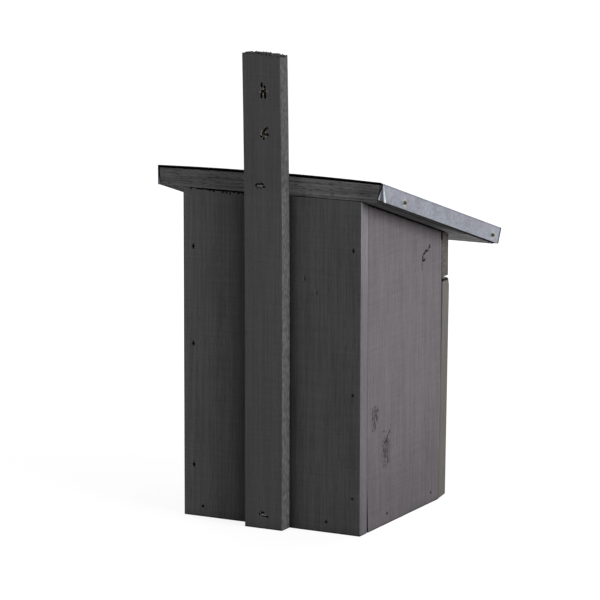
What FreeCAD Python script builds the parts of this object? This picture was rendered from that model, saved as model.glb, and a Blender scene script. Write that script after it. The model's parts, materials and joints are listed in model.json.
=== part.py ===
import FreeCAD, Part
import math
import os

# Bird nest box: sawn and painted boards, a pent roof clad in sheet zinc, a batten to hang it by,
# and a front whose lower part is a drop-down door.
# Millimetres, +Z up. The front faces -Y and the wall that the box hangs on is the plane y = 0.
# Left and right are those of a person who faces the front, so left is -X.
# Heights are measured from the underside of the box. At the end every solid moves down, so that
# the origin lies on the wall midway between the two fixing holes.

# Boards of the body
board = 16.0
body_width = 200.0
side_depth = 164.6
side_swell = 2.7
side_swell_height = 120.0
corner_gap = 2.6
corner_gap_height = 48.0
floor_height = 4.0
drain_radius = 3.0
arris = 0.6
plane_margin = 60.0
cut_margin = 1.0
tolerance = 0.01

# Hanging batten
batten_width = 42.6
batten_thickness = 16.0
batten_height = 478.3
batten_top_fall = 1.8
batten_arch = 1.0
batten_arris = 0.8
batten_bow = 2.9
batten_bow_start = 200.0
fixing_height = 420.5
fixing_spacing = 42.0
fixing_radius = 2.75

# Roof board and its zinc
roof_pitch = 16.85
roof_underside = 337.2
roof_thickness = 17.0
board_crown = 1.4
board_gap_left = 0.6
board_gap_right = 0.6
board_gap_front = 11.0
roof_edge_bevel = 1.0
roof_overhang_left = 22.4
roof_overhang_right = 28.5
roof_reach = 280.6
zinc = 0.7
zinc_gap = 0.15
zinc_lift = 1.5
zinc_crown = 1.9
zinc_flap = 17.5
flap_lean = 2.8
zinc_bend = 0.9
fold_setback_top = 3.0
fold_setback_low = 7.6
fold_tip_width = 4.9
fold_tip_rise = 1.3
tab_width = 3.6
tab_height = 11.8
tab_drop = 1.5

# Front rail and door
rail_bottom = 232.8
door_foot_inner = 0.1
door_foot_outer = 2.4
door_top = 229.3
door_clearance = 0.3
door_lean = 1.35
bevel_depth = 2.0
bevel_height = 7.5
door_arris = 0.8
entrance_radius = 16.0
entrance_height = 186.0
kerf_count = 5
kerf_pitch = 14.0
kerf_width = 2.0
kerf_depth = 2.0
kerf_length = 90.0

# Butt hinges under the floor
hinge_length = 40.0
hinge_offset = 58.0
leaf = 0.9
leaf_reach = 18.0
knuckle_radius = 1.75
pin_radius = 0.8
running_clearance = 0.05
knuckle_gap = 0.3
knuckle_count = 3
wood_gap = 0.35
mortise_gap = 0.6
hinge_screw_spacing = 24.0

# Turn hook
hook_wire = 1.5
hook_height = 254.0
hook_arm = 40.0
hook_bend = 4.0
hook_depth = 13.0
hook_door_gap = 1.2

# Fasteners
nail_length = 40.0
nail_shank = 0.9
nail_head = 1.5
nail_head_height = 0.8
nail_point = 3.0
tack_length = 20.0
tack_shank = 0.8
tack_head = 1.75
tack_head_height = 2.4
roof_nail_proud = 0.1
screw_length = 11.0
screw_shank = 1.25
screw_head = 2.4
screw_head_height = 1.3
staple_crown = 10.6
staple_wire = 1.2
staple_leg = 34.0
staple_depth = 0.6

# Planes worked out from the sizes above
half_width = body_width / 2
inner_half_width = half_width - board
back_rear = -batten_thickness
back_front = back_rear - board
side_front_low = back_front - side_depth
side_front_high = side_front_low - side_swell
rail_front = side_front_high - board
door_inner = side_front_low - door_clearance
door_outer = door_inner - board
floor_top = floor_height + board
axis_drop = knuckle_radius + wood_gap
hinge_y = door_outer - axis_drop
hinge_z = floor_height - axis_drop
roof_left = -half_width - roof_overhang_left
roof_right = half_width + roof_overhang_right
pitch_angle = math.radians(roof_pitch)
roof_top = roof_thickness + zinc_lift + zinc
roof_front = (roof_reach - roof_top * math.sin(pitch_angle)) / math.cos(pitch_angle)
flap_low = roof_top - zinc_flap
flap_slant = flap_lean / zinc_flap
board_left = roof_left + zinc + board_gap_left
board_right = roof_right - zinc - board_gap_right

# Places of the nails that can be seen, measured on the box
back_nail_heights_left = (287.4, 142.5, 37.6)
back_nail_heights_right = (277.6, 178.5, 53.7)
back_nail_inset_left = 8.5
back_nail_inset_right = 11.5
floor_nail_height = 11.0
back_floor_nail_places = (-62.3, 78.3)
side_floor_nail_places = (-76.8, -178.2)
flap_nail_places = (50.2, 267.2)
flap_nail_height = 8.3
front_flap_nail_places = (-85.0, 85.0)
roof_nail_places = (60.0, 150.0)
rail_nail_heights = (243.0, 264.0)
staple_height_top = 347.2
staple_height_bottom = 14.2
staple_side_step = 3.9


def vec(x, y, z):
    return FreeCAD.Vector(x, y, z)


LEFT = vec(-1, 0, 0)
RIGHT = vec(1, 0, 0)
FORWARD = vec(0, -1, 0)
BACKWARD = vec(0, 1, 0)
UP = vec(0, 0, 1)
DOWN = vec(0, 0, -1)


def box_between(x_low, x_high, y_low, y_high, z_low, z_high):
    """A plain block between two corners."""
    return Part.makeBox(x_high - x_low, y_high - y_low, z_high - z_low, vec(x_low, y_low, z_low))


def prism_along_x(outline, x_low, x_high):
    """A closed outline of (y, z) points, drawn out from x_low to x_high."""
    points = [vec(x_low, y, z) for y, z in outline]
    face = Part.Face(Part.makePolygon(points + points[:1]))
    return face.extrude(vec(x_high - x_low, 0, 0))


def ease(shape, radius, is_exposed):
    """Round the edges whose middle point passes the test."""
    edges = [edge for edge in shape.Edges if is_exposed(edge.CenterOfMass)]
    return shape.makeFillet(radius, edges)


def near(value, target):
    return abs(value - target) < tolerance


def joined(shapes):
    """Fuse touching shapes into one clean solid."""
    return shapes[0].fuse(shapes[1:]).removeSplitter().Solids[0]


def group(shapes):
    """Separate solids that share one node."""
    return Part.makeCompound(shapes)


def onto_roof(shape):
    """Move a shape from the roof's own frame, where it lies flat, to its place on the box."""
    shape.rotate(vec(0, 0, 0), RIGHT, roof_pitch)
    shape.translate(vec(0, back_rear, roof_underside))
    return shape


def height_on_roof(above, y):
    """Height of a plane parallel to the roof's underside, some way above it, at a depth y."""
    return roof_underside + above / math.cos(pitch_angle) + (y - back_rear) * math.tan(pitch_angle)


def onto_leaning_door(shape):
    """Turn a shape of the shut, upright door to the angle at which the door stands."""
    shape.rotate(vec(0, hinge_y, hinge_z), RIGHT, door_lean)
    return shape


# Fasteners


def pointed_shank(start, direction, length, radius):
    """The shank of a nail from under its head to its point, as solids that touch."""
    plain = length - nail_point
    return [
        Part.makeCylinder(radius, plain, start, direction),
        Part.makeCone(radius, 0, nail_point, start + direction * plain, direction),
    ]


def board_nail(head_top, direction):
    """A nail with a flat head that lies level with the wood."""
    head = Part.makeCylinder(nail_head, nail_head_height, head_top, direction)
    under_head = head_top + direction * nail_head_height
    shank = pointed_shank(under_head, direction, nail_length - nail_head_height, nail_shank)
    return joined([head] + shank)


def roof_tack(surface_point, direction):
    """A short nail whose round head stands proud of the zinc."""
    head_top = surface_point - direction * tack_head_height
    ball_radius = (tack_head**2 + tack_head_height**2) / (2 * tack_head_height)
    rim_angle = math.degrees(math.asin(1 - tack_head_height / ball_radius))
    dome = Part.makeSphere(ball_radius, head_top + direction * ball_radius, -direction, rim_angle, 90)
    shank = pointed_shank(surface_point, direction, tack_length - tack_head_height, tack_shank)
    return joined([dome] + shank)


def leaf_screw(head_top, direction):
    """A countersunk wood screw with its head level with the hinge leaf."""
    solids = [
        Part.makeCone(screw_head, screw_shank, screw_head_height, head_top, direction),
        Part.makeCylinder(screw_shank, screw_length - nail_point, head_top, direction),
        Part.makeCone(
            screw_shank, 0, nail_point, head_top + direction * (screw_length - nail_point), direction
        ),
    ]
    return joined(solids)


def staple(middle_x, height):
    """A wire staple across the batten, driven a little below its face."""
    half = staple_crown / 2
    crown_top = -staple_depth
    legs_end = crown_top - staple_leg
    low = height - staple_wire / 2
    high = height + staple_wire / 2
    crown = box_between(middle_x - half, middle_x + half, crown_top - staple_wire, crown_top, low, high)
    leg_left = box_between(middle_x - half, middle_x - half + staple_wire, legs_end, crown_top, low, high)
    leg_right = box_between(middle_x + half - staple_wire, middle_x + half, legs_end, crown_top, low, high)
    return joined([crown, leg_left, leg_right])


def staple_slot(middle_x, height):
    """The slot that the sunk staple leaves in the batten's face."""
    half = staple_crown / 2
    low = height - staple_wire / 2
    return box_between(middle_x - half, middle_x + half, -staple_depth, cut_margin, low, low + staple_wire)


def make_fasteners():
    """All nails and staples, by node name. The roof's own are made in the roof's frame first."""
    left_nail_x = -half_width + back_nail_inset_left
    right_nail_x = half_width - back_nail_inset_right
    nails = {}
    nails["back_nails_left"] = [
        board_nail(vec(left_nail_x, back_rear, z), FORWARD) for z in back_nail_heights_left
    ]
    nails["back_nails_right"] = [
        board_nail(vec(right_nail_x, back_rear, z), FORWARD) for z in back_nail_heights_right
    ]
    nails["back_floor_nails"] = [
        board_nail(vec(x, back_rear, floor_nail_height), FORWARD) for x in back_floor_nail_places
    ]
    nails["side_floor_nails_left"] = [
        board_nail(vec(-half_width, y, floor_nail_height), RIGHT) for y in side_floor_nail_places
    ]
    nails["side_floor_nails_right"] = [
        board_nail(vec(half_width, y, floor_nail_height), LEFT) for y in side_floor_nail_places
    ]
    side_middle = half_width - board / 2
    nails["front_rail_nails"] = [
        board_nail(vec(x, rail_front, z), BACKWARD)
        for x in (-side_middle, side_middle)
        for z in rail_nail_heights
    ]
    nails["roof_board_nails"] = [
        onto_roof(board_nail(vec(x, -along, board_top_at(x) + roof_nail_proud), DOWN))
        for x in (-side_middle, side_middle)
        for along in roof_nail_places
    ]
    nails["cladding_nails_left"] = [
        onto_roof(roof_tack(vec(roof_left, -along, flap_nail_height), RIGHT)) for along in flap_nail_places
    ]
    nails["cladding_nails_right"] = [
        onto_roof(roof_tack(vec(roof_right, -along, flap_nail_height), LEFT)) for along in flap_nail_places
    ]
    front_flap_y = flap_slant * (roof_top - flap_nail_height) - roof_front
    into_flap = vec(0, 1, flap_slant).normalize()
    nails["cladding_nails_front"] = [
        onto_roof(roof_tack(vec(x, front_flap_y, flap_nail_height), into_flap))
        for x in front_flap_nail_places
    ]
    nails["batten_staple_top"] = [staple(staple_side_step, staple_height_top)]
    nails["batten_staple_bottom"] = [staple(0.0, staple_height_bottom)]
    return {name: group(solids) for name, solids in nails.items()}


# Body boards


def space_above_roof_underside():
    """Everything above the roof's underside, taken off the boards that carry the roof."""
    reach = roof_front + plane_margin
    return onto_roof(
        box_between(-body_width, body_width, -reach, plane_margin, 0.0, roof_underside)
    )


def make_back_panel(roof_space):
    panel = box_between(
        -half_width, half_width, back_front, back_rear, 0.0, roof_underside + plane_margin
    )

    def is_exposed(point):
        upright = near(abs(point.x), half_width) and near(point.y, back_rear)
        underside = near(point.z, 0.0) and not near(point.y, back_front)
        return upright or underside

    return ease(panel, arris, is_exposed).cut(roof_space)


def side_outline(gap):
    """A side board from the side, with a gap left at the foot of its rear edge."""
    top = roof_underside + plane_margin
    return [
        (back_front - gap, 0.0),
        (side_front_low, 0.0),
        (side_front_high, side_swell_height),
        (side_front_high, top),
        (back_front, top),
        (back_front, corner_gap_height),
    ]


def make_side_panel(direction, gap, roof_space):
    """direction is -1 for the left board and 1 for the right one."""
    outer = direction * half_width
    inner = direction * inner_half_width
    panel = prism_along_x(side_outline(gap), min(outer, inner), max(outer, inner))

    def is_exposed(point):
        return near(point.x, outer) and near(point.z, 0.0)

    return ease(panel, arris, is_exposed).cut(roof_space)


def make_floor_board():
    floor = box_between(
        -inner_half_width, inner_half_width, side_front_low, back_front, floor_height, floor_top
    )
    drain_x = inner_half_width / 2
    drain_y = (side_front_low + back_front) / 2
    drain_step = side_depth / 4
    drains = [
        Part.makeCylinder(drain_radius, board, vec(x, drain_y + step, floor_height))
        for x in (-drain_x, drain_x)
        for step in (-drain_step, drain_step)
    ]
    return floor.cut(drains)


def batten_edge(start_x, top):
    """One long edge of the batten: straight at first, then a long flat arc towards +X."""
    length = top - batten_bow_start
    radius = (length**2 + batten_bow**2) / (2 * batten_bow)
    half_turn = math.asin(length / radius) / 2
    bend = vec(start_x, 0, batten_bow_start)
    middle = vec(
        start_x + radius * (1 - math.cos(half_turn)), 0, batten_bow_start + radius * math.sin(half_turn)
    )
    end = vec(start_x + batten_bow, 0, top)
    return vec(start_x, 0, 0), bend, middle, end


def make_hanging_batten():
    half = batten_width / 2
    low_end = batten_height - batten_top_fall
    foot_left, bend_left, middle_left, top_left = batten_edge(-half, low_end)
    foot_right, bend_right, middle_right, top_right = batten_edge(half, batten_height)
    crest = vec(batten_bow, 0, (low_end + batten_height) / 2 + batten_arch)
    edges = [
        Part.LineSegment(foot_left, foot_right).toShape(),
        Part.LineSegment(foot_right, bend_right).toShape(),
        Part.Arc(bend_right, middle_right, top_right).toShape(),
        Part.Arc(top_right, crest, top_left).toShape(),
        Part.Arc(top_left, middle_left, bend_left).toShape(),
        Part.LineSegment(bend_left, foot_left).toShape(),
    ]
    batten = Part.Face(Part.Wire(edges)).extrude(FORWARD * batten_thickness)

    def is_exposed(point):
        return near(point.y, 0.0) and point.z < low_end

    batten = ease(batten, batten_arris, is_exposed)
    for step in (-fixing_spacing / 2, fixing_spacing / 2):
        hole = Part.makeCylinder(
            fixing_radius, batten_thickness, vec(0, 0, fixing_height + step), FORWARD
        )
        batten = batten.cut(hole)
    slots = [
        staple_slot(staple_side_step, staple_height_top),
        staple_slot(0.0, staple_height_bottom),
    ]
    return batten.cut(slots)


def make_front_top_rail(roof_space):
    rail = box_between(
        -half_width, half_width, rail_front, side_front_high, rail_bottom, roof_underside
    )

    def is_exposed(point):
        upright = near(abs(point.x), half_width) and near(point.y, rail_front)
        lower = near(point.y, rail_front) and near(point.z, rail_bottom)
        return upright or lower

    return ease(rail, arris, is_exposed).cut(roof_space)


# Roof


def bowed_profile(left, right, low, shoulder, top, corner, crown):
    """The roof's section across the slope: upright sides, rounded shoulders and a slightly crowned top."""
    middle = (left + right) / 2
    near_side = corner * (1 - math.sqrt(0.5))
    shoulder_left = vec(left, 0, shoulder)
    top_left = vec(left + corner, 0, top)
    top_right = vec(right - corner, 0, top)
    shoulder_right = vec(right, 0, shoulder)
    edges = [
        Part.LineSegment(vec(left, 0, low), shoulder_left).toShape(),
        Part.Arc(shoulder_left, vec(left + near_side, 0, top - near_side), top_left).toShape(),
        Part.Arc(top_left, vec(middle, 0, top + crown), top_right).toShape(),
        Part.Arc(top_right, vec(right - near_side, 0, top - near_side), shoulder_right).toShape(),
        Part.LineSegment(shoulder_right, vec(right, 0, low)).toShape(),
        Part.LineSegment(vec(right, 0, low), vec(left, 0, low)).toShape(),
    ]
    return Part.Face(Part.Wire(edges))


def drawn_down_slope(profile, start, end):
    """Draw a section out along the slope, from start to end, then set it on the box."""
    profile.translate(vec(0, -start, 0))
    return onto_roof(profile.extrude(vec(0, start - end, 0)))


def space_behind(plane):
    """Everything on the wall's side of an upright plane, to cut the roof's rear end plumb."""
    return box_between(-body_width, body_width, plane, plane + body_width, 0.0, batten_height)


def board_top_at(x):
    """Height of the crowned top of the roof board above its underside."""
    half_chord = (board_right - board_left) / 2 - roof_edge_bevel
    offset = x - (board_left + board_right) / 2
    radius = (half_chord**2 + board_crown**2) / (2 * board_crown)
    return roof_thickness + board_crown - radius + math.sqrt(radius**2 - offset**2)


def make_roof_board():
    profile = bowed_profile(
        board_left,
        board_right,
        0.0,
        roof_thickness - roof_edge_bevel,
        roof_thickness,
        roof_edge_bevel,
        board_crown,
    )
    end = roof_front - zinc - board_gap_front
    board_blank = drawn_down_slope(profile, -plane_margin, end)
    return board_blank.cut(space_behind(back_rear)).cut(space_for_left_tab())


def plate(outline, direction):
    """A flat piece of sheet zinc, as thick as the zinc is, on one side of a closed outline."""
    face = Part.Face(Part.makePolygon(outline + outline[:1]))
    return face.extrude(direction * zinc)


def make_right_tab():
    """A small corner of the right flap, folded round onto the rear end of the roof board."""
    rear = back_rear + zinc_gap
    foot = height_on_roof(flap_low, rear) - tab_drop
    outline = [
        vec(roof_right, rear, foot),
        vec(roof_right, rear, foot + tab_height),
        vec(roof_right - tab_width, rear, foot),
    ]
    return plate(outline, BACKWARD)


def fold_place(setback, above):
    """Where the left flap's slanting rear end lies: its depth and height."""
    y = back_rear - setback
    return y, height_on_roof(above, y)


def left_tab_corners():
    """The left tab's inner corners: both ends of the slanting fold, and the tip at the board's end."""
    inner = roof_left + zinc
    top_y, top_z = fold_place(fold_setback_top + zinc, roof_top - zinc_bend)
    low_y, low_z = fold_place(fold_setback_low + zinc, flap_low)
    tip_y = back_rear + zinc_gap
    tip_z = height_on_roof(flap_low, tip_y) + fold_tip_rise
    return [
        vec(inner, top_y, top_z),
        vec(inner, low_y, low_z),
        vec(roof_left + fold_tip_width, tip_y, tip_z),
    ]


def outward_from_tab():
    """The direction that the left tab faces, away from the board."""
    top, low, tip = left_tab_corners()
    square = (tip - top).cross(low - top).normalize()
    return square if square.x < 0 else -square


def make_left_tab():
    """The rear corner of the left flap, bent in from the slanting fold towards the board's end."""
    return plate(left_tab_corners(), outward_from_tab())


def space_for_left_tab():
    """The corner that the roof board leaves off so that the left tab can lie against it."""
    top, low, tip = left_tab_corners()
    outward = outward_from_tab()
    up = (top - low).normalize()
    back = (tip - low).normalize()
    start = low - outward * zinc_gap - (up + back) * zinc_flap
    reach = 3 * zinc_flap
    outline = [start, start + up * reach, start + (up + back) * reach, start + back * reach]
    face = Part.Face(Part.makePolygon(outline + outline[:1]))
    return face.extrude(outward * zinc_flap)


def space_behind_left_fold():
    """What the left flap leaves off behind its slanting fold."""
    top = fold_place(fold_setback_top, roof_top - zinc_bend)
    low = fold_place(fold_setback_low, flap_low - cut_margin)
    rear_top = fold_place(-plane_margin, roof_top - zinc_bend)
    rear_low = (rear_top[0], low[1])
    outline = [top, low, rear_low, rear_top]
    return prism_along_x(outline, roof_left - cut_margin, roof_left + zinc + cut_margin)


def space_before_flap(end):
    """Everything in front of a plane that starts at end on the slope and leans in below, as the front
    flap does."""
    high = roof_top + plane_margin
    low = flap_low - plane_margin
    outline = [
        (-end - flap_slant * (high - roof_top), high),
        (-end + flap_slant * (roof_top - low), low),
        (-end - plane_margin, low),
        (-end - plane_margin, high),
    ]
    return onto_roof(prism_along_x(outline, -body_width, body_width))


def make_roof_cladding():
    outer = bowed_profile(
        roof_left, roof_right, flap_low, roof_top - zinc_bend, roof_top, zinc_bend, zinc_crown
    )
    inner_top = roof_top - zinc
    inner = bowed_profile(
        roof_left + zinc,
        roof_right - zinc,
        flap_low - plane_margin,
        roof_top - zinc_bend,
        inner_top,
        zinc_bend - zinc,
        zinc_crown,
    )
    sheet = drawn_down_slope(outer, -plane_margin, roof_front).cut(space_before_flap(roof_front))
    hollow_end = roof_front - zinc
    hollow = drawn_down_slope(inner, -plane_margin - cut_margin, hollow_end)
    hollow = hollow.cut(space_before_flap(hollow_end))
    lip = back_rear + zinc_gap + zinc
    sheet = sheet.cut(hollow).cut(space_behind(lip)).cut(space_behind_left_fold())
    tabs = [make_left_tab(), make_right_tab()]
    batten_room = batten_width / 2 + batten_bow
    notch = box_between(-batten_room, batten_room, back_rear, 0.0, 0.0, batten_height)
    return joined([sheet] + tabs).cut(notch)


# Door and its hinges


def hinge_centres():
    return {"left": -hinge_offset, "right": hinge_offset}


def knuckle_spans(centre):
    """The three knuckles of a hinge along X: the outer two are on the floor leaf."""
    start = centre - hinge_length / 2
    step = hinge_length / knuckle_count
    half_gap = knuckle_gap / 2
    spans = []
    for index in range(knuckle_count):
        low = start + index * step
        spans.append((low + half_gap, low + step - half_gap))
    return spans


def knuckle(span):
    low, high = span
    return Part.makeCylinder(knuckle_radius, high - low, vec(low, hinge_y, hinge_z), RIGHT)


def pin_bore(centre):
    start = centre - hinge_length
    bore_radius = pin_radius + running_clearance
    return Part.makeCylinder(bore_radius, 2 * hinge_length, vec(start, hinge_y, hinge_z), RIGHT)


def screw_places(centre):
    half = hinge_screw_spacing / 2
    return (centre - half, centre + half)


def make_floor_leaf(centre):
    """The leaf under the floor board, with the two outer knuckles."""
    half = hinge_length / 2
    low = floor_height - leaf
    plate_front = hinge_y + axis_drop + wood_gap
    plate_rear = side_front_low + leaf_reach
    solids = [box_between(centre - half, centre + half, plate_front, plate_rear, low, floor_height)]
    spans = knuckle_spans(centre)
    for span in (spans[0], spans[2]):
        solids.append(knuckle(span))
        solids.append(box_between(span[0], span[1], hinge_y, plate_front, low, floor_height))
    return joined(solids).cut(pin_bore(centre))


def make_door_leaf(centre):
    """The leaf on the door's outer face, with the middle knuckle, at the upright door."""
    half = hinge_length / 2
    front = door_outer - leaf
    plate_low = hinge_z + axis_drop + wood_gap
    plate_high = plate_low + leaf_reach
    middle = knuckle_spans(centre)[1]
    solids = [
        box_between(centre - half, centre + half, front, door_outer, plate_low, plate_high),
        knuckle(middle),
        box_between(middle[0], middle[1], front, door_outer, hinge_z, plate_low),
    ]
    return onto_leaning_door(joined(solids).cut(pin_bore(centre)))


def make_hinge_pin(centre):
    """A plain pin with a small rounded head at each end."""
    half = hinge_length / 2
    start = vec(centre - half, hinge_y, hinge_z)
    head = pin_radius / 2
    solids = [
        Part.makeCylinder(pin_radius, hinge_length, start, RIGHT),
        Part.makeCylinder(pin_radius + head, head, start, LEFT),
        Part.makeCylinder(pin_radius + head, head, vec(centre + half, hinge_y, hinge_z), RIGHT),
    ]
    return joined(solids)


def make_floor_leaf_screws(centre):
    head_y = side_front_low + leaf_reach / 2
    under_leaf = floor_height - leaf
    return group([leaf_screw(vec(x, head_y, under_leaf), UP) for x in screw_places(centre)])


def make_door_leaf_screws(centre):
    height = hinge_z + axis_drop + wood_gap + leaf_reach / 2
    face = door_outer - leaf
    screws = [leaf_screw(vec(x, face, height), BACKWARD) for x in screw_places(centre)]
    return onto_leaning_door(group(screws))


def make_front_door():
    """The door board: a finger bevel along its top, the entrance, climbing kerfs and two mortises."""
    outline = [
        (door_inner, door_foot_inner),
        (door_outer, door_foot_outer),
        (door_outer, door_top - bevel_height),
        (door_outer + bevel_depth, door_top),
        (door_inner, door_top),
    ]
    door = prism_along_x(outline, -half_width, half_width)
    door = door.makeFillet(door_arris, door.Edges)
    cuts = [
        Part.makeCylinder(entrance_radius, 2 * board, vec(0, door_inner + board, entrance_height), FORWARD)
    ]
    first_kerf = entrance_height - entrance_radius - kerf_pitch
    for index in range(kerf_count):
        height = first_kerf - index * kerf_pitch
        cuts.append(
            box_between(
                -kerf_length / 2,
                kerf_length / 2,
                door_inner - kerf_depth,
                door_inner + cut_margin,
                height,
                height + kerf_width,
            )
        )
    mortise = hinge_length / 2 + mortise_gap
    for centre in hinge_centres().values():
        cuts.append(
            box_between(
                centre - mortise,
                centre + mortise,
                door_outer - cut_margin,
                door_inner + cut_margin,
                -cut_margin,
                floor_height + mortise_gap,
            )
        )
    return onto_leaning_door(door.cut(cuts))


def make_turn_hook():
    """A square-bend screw hook in the rail. Its arm lies level, clear of the door, when released."""
    face_at_bevel = (door_top - bevel_height - hinge_z) * math.tan(math.radians(door_lean))
    arm_y = door_outer - face_at_bevel - hook_door_gap - hook_wire
    inner_end = vec(0, rail_front + hook_depth, hook_height)
    bend_start = vec(0, arm_y + hook_bend, hook_height)
    half = hook_bend * math.sqrt(0.5)
    bend_middle = vec(hook_bend - half, arm_y + hook_bend - half, hook_height)
    bend_end = vec(hook_bend, arm_y, hook_height)
    arm_end = vec(hook_arm, arm_y, hook_height)
    path = Part.Wire(
        [
            Part.LineSegment(inner_end, bend_start).toShape(),
            Part.Arc(bend_start, bend_middle, bend_end).toShape(),
            Part.LineSegment(bend_end, arm_end).toShape(),
        ]
    )
    section = Part.Wire([Part.makeCircle(hook_wire, inner_end, FORWARD)])
    wire = path.makePipeShell([section], True, True)
    tip = Part.makeSphere(hook_wire, arm_end)
    return joined([wire, tip])


def hook_hole():
    radius = hook_wire + running_clearance
    depth = hook_depth + cut_margin
    return Part.makeCylinder(radius, depth, vec(0, rail_front, hook_height), BACKWARD)


def make_all():
    """Every node by name, in the frame whose heights start at the underside of the box."""
    roof_space = space_above_roof_underside()
    nodes = make_fasteners()
    fasteners = list(nodes.values())
    boards = {
        "back_panel": make_back_panel(roof_space),
        "side_panel_left": make_side_panel(-1, corner_gap, roof_space),
        "side_panel_right": make_side_panel(1, 0.0, roof_space),
        "floor_board": make_floor_board(),
        "front_top_rail": make_front_top_rail(roof_space).cut(hook_hole()),
        "hanging_batten": make_hanging_batten(),
        "roof_board": make_roof_board(),
        "roof_cladding": make_roof_cladding(),
        "front_door": make_front_door(),
    }
    for side, centre in hinge_centres().items():
        floor_screws = make_floor_leaf_screws(centre)
        door_screws = make_door_leaf_screws(centre)
        nodes["hinge_" + side + "_floor_leaf"] = make_floor_leaf(centre).cut(floor_screws)
        nodes["hinge_" + side + "_door_leaf"] = make_door_leaf(centre).cut(door_screws)
        nodes["hinge_" + side + "_pin"] = make_hinge_pin(centre)
        nodes["hinge_" + side + "_floor_screws"] = floor_screws
        nodes["hinge_" + side + "_door_screws"] = door_screws
        boards["floor_board"] = boards["floor_board"].cut(floor_screws)
        boards["front_door"] = boards["front_door"].cut(door_screws)
    for name, shape in boards.items():
        nodes[name] = shape if name == "front_door" else shape.cut(fasteners)
    nodes["door_turn_hook"] = make_turn_hook()
    return nodes


def main():
    os.makedirs("parts", exist_ok=True)
    for name, shape in make_all().items():
        shape.translate(vec(0, 0, -fixing_height))
        shape.exportStep("parts/" + name + ".step")
        print(name, len(shape.Solids), shape.isValid(), round(shape.Volume, 1))


main()
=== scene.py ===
import json
import math

import bmesh
import bpy
from mathutils import Matrix, Quaternion, Vector, noise
from mathutils.geometry import intersect_point_line


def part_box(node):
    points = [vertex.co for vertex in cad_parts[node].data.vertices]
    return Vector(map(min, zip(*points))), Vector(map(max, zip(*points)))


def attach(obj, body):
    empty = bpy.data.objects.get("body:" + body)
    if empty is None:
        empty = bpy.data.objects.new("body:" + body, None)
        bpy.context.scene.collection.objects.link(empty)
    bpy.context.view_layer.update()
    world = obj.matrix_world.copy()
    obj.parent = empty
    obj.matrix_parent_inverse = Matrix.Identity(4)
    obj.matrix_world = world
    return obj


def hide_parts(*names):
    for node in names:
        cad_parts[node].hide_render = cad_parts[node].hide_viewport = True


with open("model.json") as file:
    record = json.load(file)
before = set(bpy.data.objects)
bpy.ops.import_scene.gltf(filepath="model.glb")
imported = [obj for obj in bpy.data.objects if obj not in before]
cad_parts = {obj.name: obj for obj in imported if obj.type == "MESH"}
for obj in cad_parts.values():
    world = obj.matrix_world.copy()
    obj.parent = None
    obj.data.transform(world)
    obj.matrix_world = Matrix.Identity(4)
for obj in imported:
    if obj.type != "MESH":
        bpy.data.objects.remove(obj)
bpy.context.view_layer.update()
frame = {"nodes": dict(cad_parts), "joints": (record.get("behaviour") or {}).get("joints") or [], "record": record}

nodes = frame["nodes"]

MM = 0.001
X, Y, Z = range(3)
LEFT, RIGHT = (-1.0, 0.0, 0.0), (1.0, 0.0, 0.0)
DOWN, BACKWARD = (0.0, 0.0, -1.0), (0.0, 1.0, 0.0)

# Sizes that the frame doesn't state
roof_pitch = math.radians(16.85)
roof_thickness = 17.0 * MM
roof_crown = 1.4 * MM
zinc = 0.7 * MM
zinc_top = 19.2 * MM
zinc_flap = 17.5 * MM
flap_lean = 2.8 * MM
fold_setback_top = 3.0 * MM
fold_setback_low = 7.6 * MM
fold_slant = 0.53
tab_height = 11.8 * MM
tab_width = 3.6 * MM
tack_places = (50.2 * MM, 267.2 * MM)
tack_height = 8.3 * MM
batten_height = 478.3 * MM
batten_top_fall = 1.8 * MM
batten_arch = 1.0 * MM
batten_bow = 2.9 * MM
batten_bow_start = 200.0 * MM
splinter_reach = 4.0 * MM
splinter_height = 1.5 * MM
splinter_width = 1.6 * MM
shreds_depth = 2.4 * MM
fixing_spacing = 42.0 * MM
fixing_radius = 2.75 * MM
side_swell = 2.7 * MM
side_swell_height = 120.0 * MM
side_gap = 1.3 * MM
side_ripple = 0.8 * MM
tight_gap = 0.3 * MM
rail_gap = 0.9 * MM
corner_gap = 2.6 * MM
corner_gap_height = 48.0 * MM
door_lean = math.radians(1.35)
door_clearance = 0.3 * MM
door_foot_inner = 0.1 * MM
door_foot_outer = 2.4 * MM
door_top = 229.3 * MM
bevel_depth = 2.0 * MM
bevel_height = 7.5 * MM
burr_height = 2.4 * MM
burr_ripple = 0.6 * MM
burr_width = 1.7 * MM
entrance_radius = 16.0 * MM
entrance_height = 186.0 * MM
entrance_rim = 1.2 * MM
kerf_count = 5
kerf_pitch = 14.0 * MM
kerf_width = 2.0 * MM
kerf_depth = 2.0 * MM
kerf_length = 90.0 * MM
mortise_gap = 0.6 * MM
drain_radius = 3.0 * MM
hook_hole_radius = 1.55 * MM
hook_hole_depth = 14.0 * MM

# Planes of the frame
back_low, back_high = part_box("back_panel")
left_low, left_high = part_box("side_panel_left")
right_low, right_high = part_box("side_panel_right")
floor_low, floor_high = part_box("floor_board")
rail_low, rail_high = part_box("front_top_rail")
batten_low, batten_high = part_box("hanging_batten")
roof_low, roof_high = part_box("roof_board")
zinc_low, zinc_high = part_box("roof_cladding")
joint_places = {joint["name"]: Vector(joint["pos_m"]) for joint in frame["joints"]}
hinge_axis = joint_places["door_hinge"]
hook_axis = joint_places["hook_turn"]
underside = back_low.z
board = back_high.y - back_low.y
batten_width = batten_high.x - batten_low.x - batten_bow
roof_corner = Vector((0.0, back_high.y, back_high.z))
door_inner = left_low.y + side_swell - door_clearance
door_outer = door_inner - board
cut_margin = 1.0 * MM

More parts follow.
